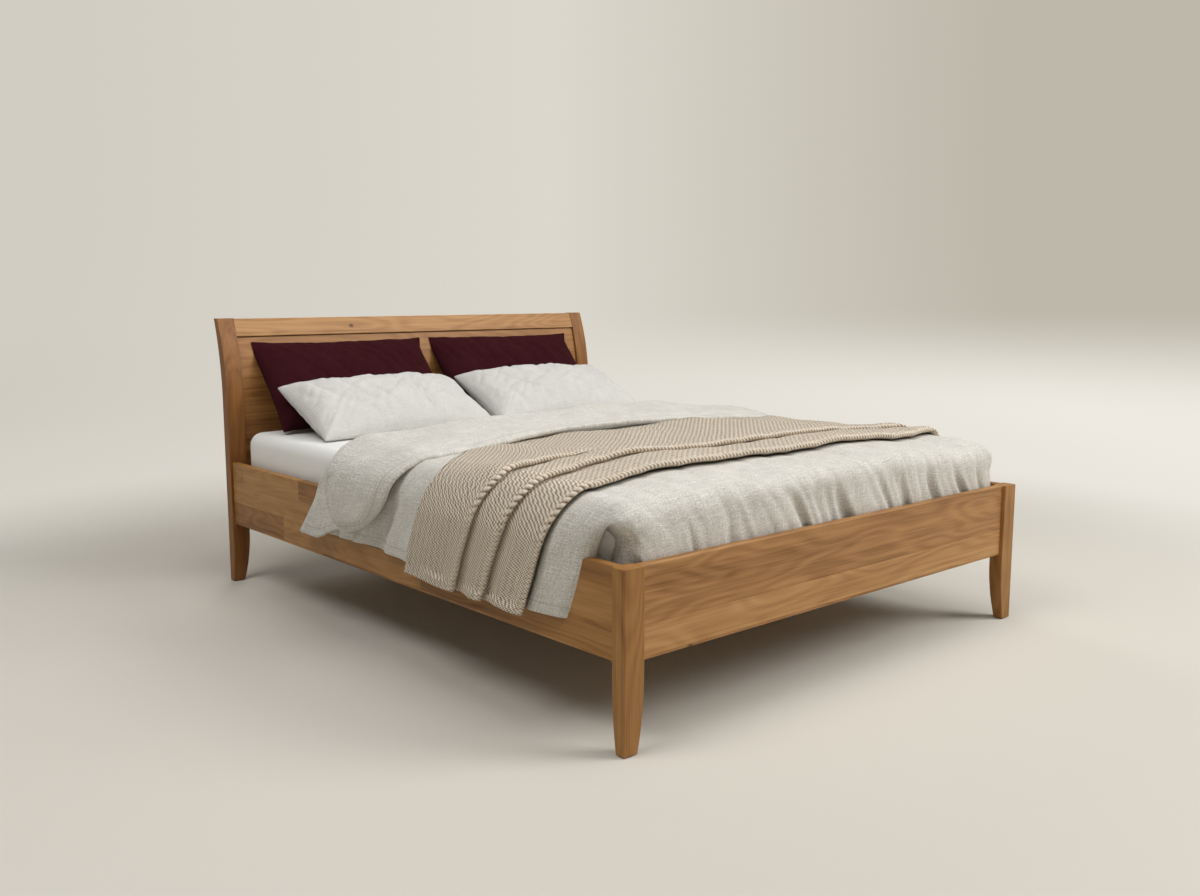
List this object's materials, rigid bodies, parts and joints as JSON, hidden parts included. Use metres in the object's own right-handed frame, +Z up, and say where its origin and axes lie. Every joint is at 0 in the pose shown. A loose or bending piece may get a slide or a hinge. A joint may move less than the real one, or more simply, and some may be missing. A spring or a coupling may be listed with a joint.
{
  "type": "wooden bed",
  "caption": "Double bed of solid wood with a backward-curved headboard, tapered legs and a low footboard, made up with mattress, duvet, knitted throw and pillows.",
  "frame": {"origin": "on the floor, under the middle of the bed's overall outline", "axes": "+X to the right as seen from the foot end, +Y from the foot end to the headboard, +Z up"},
  "size_m": [1.779, 2.165, 0.948],
  "materials": {
    "frame_wood": "oiled",
    "slat_wood": "planed, untreated",
    "dowel_wood": "fluted, glued in",
    "steel": "zinc plated",
    "felt": "felt",
    "tape": "woven tape",
    "sheet_white": "cotton jersey",
    "duvet_linen": "slub linen",
    "throw_knit": "chunky knit",
    "burgundy_cotton": "cotton sateen",
    "pillow_linen": "washed linen"
  },
  "bodies": {
    "frame": {"beam_hanger_foot": "steel", "beam_hanger_head": "steel", "centre_beam": "slat_wood", "centre_leg_foot": "slat_wood", "centre_leg_head": "slat_wood", "floor_glides": "felt", "foot_post_left": "frame_wood", "foot_post_right": "frame_wood", "footboard_dowels": "dowel_wood", "footboard_panel": "frame_wood", "head_post_left": "frame_wood", "head_post_right": "frame_wood", "headboard_bottom_rail": "frame_wood", "headboard_dowels": "dowel_wood", "headboard_panel": "frame_wood", "headboard_top_rail": "frame_wood", "hook_plate_foot_left": "steel", "hook_plate_foot_right": "steel", "hook_plate_head_left": "steel", "hook_plate_head_right": "steel", "leg_bolts": "steel", "side_rail_left": "frame_wood", "side_rail_right": "frame_wood", "slat_01": "slat_wood", "slat_02": "slat_wood", "slat_03": "slat_wood", "slat_04": "slat_wood", "slat_05": "slat_wood", "slat_06": "slat_wood", "slat_07": "slat_wood", "slat_08": "slat_wood", "slat_09": "slat_wood", "slat_10": "slat_wood", "slat_11": "slat_wood", "slat_12": "slat_wood", "slat_13": "slat_wood", "slat_14": "slat_wood", "slat_15": "slat_wood", "slat_ledge_left": "slat_wood", "slat_ledge_right": "slat_wood", "slat_tape_left": "tape", "slat_tape_right": "tape", "slot_plate_foot_left": "steel", "slot_plate_foot_right": "steel", "slot_plate_head_left": "steel", "slot_plate_head_right": "steel"},
    "mattress": {"mattress": "sheet_white", "duvet": "duvet_linen", "throw": "throw_knit"},
    "back_pillow_left": {"back_pillow_left": "burgundy_cotton"},
    "back_pillow_right": {"back_pillow_right": "burgundy_cotton"},
    "front_pillow_left": {"front_pillow_left": "pillow_linen"},
    "front_pillow_right": {"front_pillow_right": "pillow_linen"}
  },
  "joints": [
    {"name": "mattress_lift", "type": "slide", "parent": "frame", "child": "mattress", "axis": [0, 0, 1], "range_m": [0, 0.35]},
    {"name": "back_pillow_left_lift", "type": "slide", "parent": "mattress", "child": "back_pillow_left", "axis": [0, 0, 1], "range_m": [0, 0.4]},
    {"name": "front_pillow_left_lift", "type": "slide", "parent": "back_pillow_left", "child": "front_pillow_left", "axis": [0, 0, 1], "range_m": [0, 0.4]},
    {"name": "back_pillow_right_lift", "type": "slide", "parent": "mattress", "child": "back_pillow_right", "axis": [0, 0, 1], "range_m": [0, 0.4]},
    {"name": "front_pillow_right_lift", "type": "slide", "parent": "back_pillow_right", "child": "front_pillow_right", "axis": [0, 0, 1], "range_m": [0, 0.4]}
  ]
}
